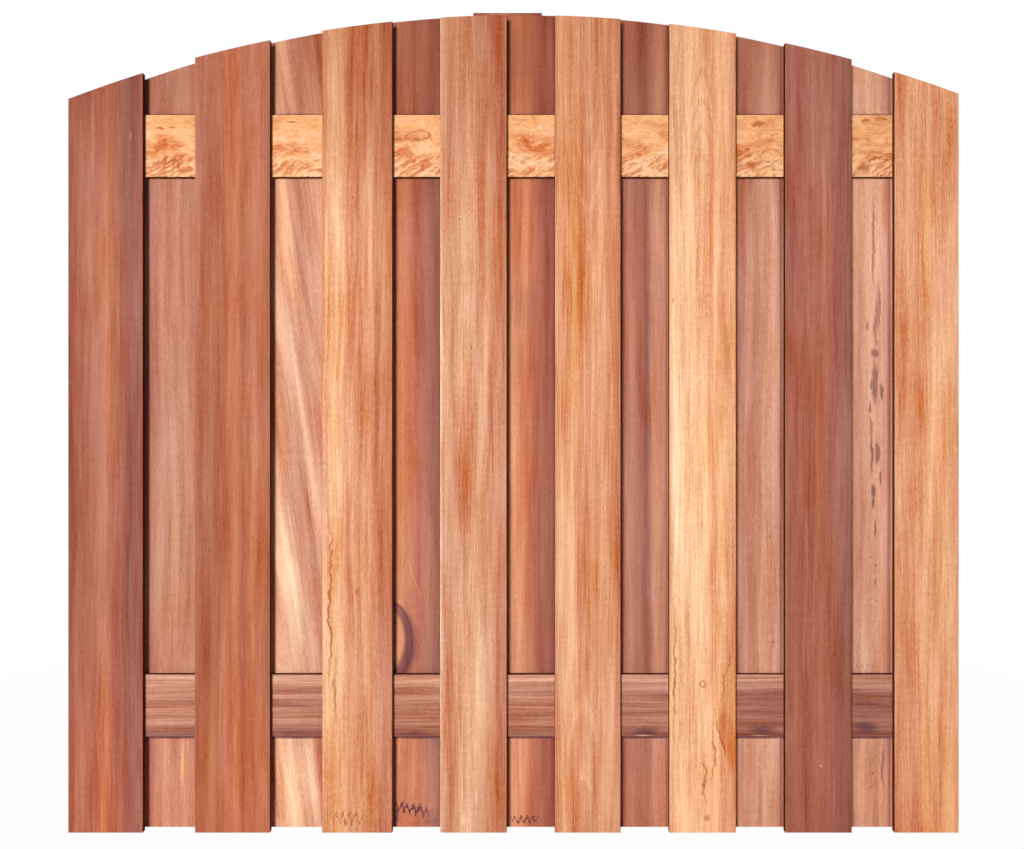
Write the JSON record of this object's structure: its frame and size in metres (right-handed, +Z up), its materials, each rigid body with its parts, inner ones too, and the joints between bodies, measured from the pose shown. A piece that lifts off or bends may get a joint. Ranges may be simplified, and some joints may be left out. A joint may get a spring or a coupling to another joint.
{
  "type": "arched fence panel",
  "caption": "Hardwood fence panel with an arched top: upright boards fixed by turns to the front and back of two level rails.",
  "frame": {"origin": "on the ground, in the middle of the panel's length and depth", "axes": "+X along the panel to the right as seen from the front, +Y from the front boards to the back, +Z up"},
  "size_m": [1.8, 0.064, 1.674],
  "materials": {
    "red_brown_board": "planed tropical hardwood, oiled",
    "pink_brown_board": "planed tropical hardwood, oiled",
    "tan_board": "planed tropical hardwood, oiled",
    "amber_rail": "planed figured hardwood, oiled",
    "mauve_rail": "planed tropical hardwood, oiled",
    "screws": "stainless steel"
  },
  "bodies": {
    "root": {"front_board_1": "red_brown_board", "front_board_2": "red_brown_board", "front_board_3": "tan_board", "front_board_4": "pink_brown_board", "front_board_5": "tan_board", "front_board_6": "tan_board", "front_board_7": "red_brown_board", "front_board_8": "tan_board", "back_board_1": "pink_brown_board", "back_board_2": "tan_board", "back_board_3": "red_brown_board", "back_board_4": "red_brown_board", "back_board_5": "pink_brown_board", "back_board_6": "pink_brown_board", "back_board_7": "tan_board", "centre_stile": "pink_brown_board", "upper_rail": "amber_rail", "lower_rail": "mauve_rail", "front_screws_upper": "screws", "back_screws_upper": "screws", "stile_screws_upper": "screws", "front_screws_lower": "screws", "back_screws_lower": "screws", "stile_screws_lower": "screws"}
  },
  "joints": []
}
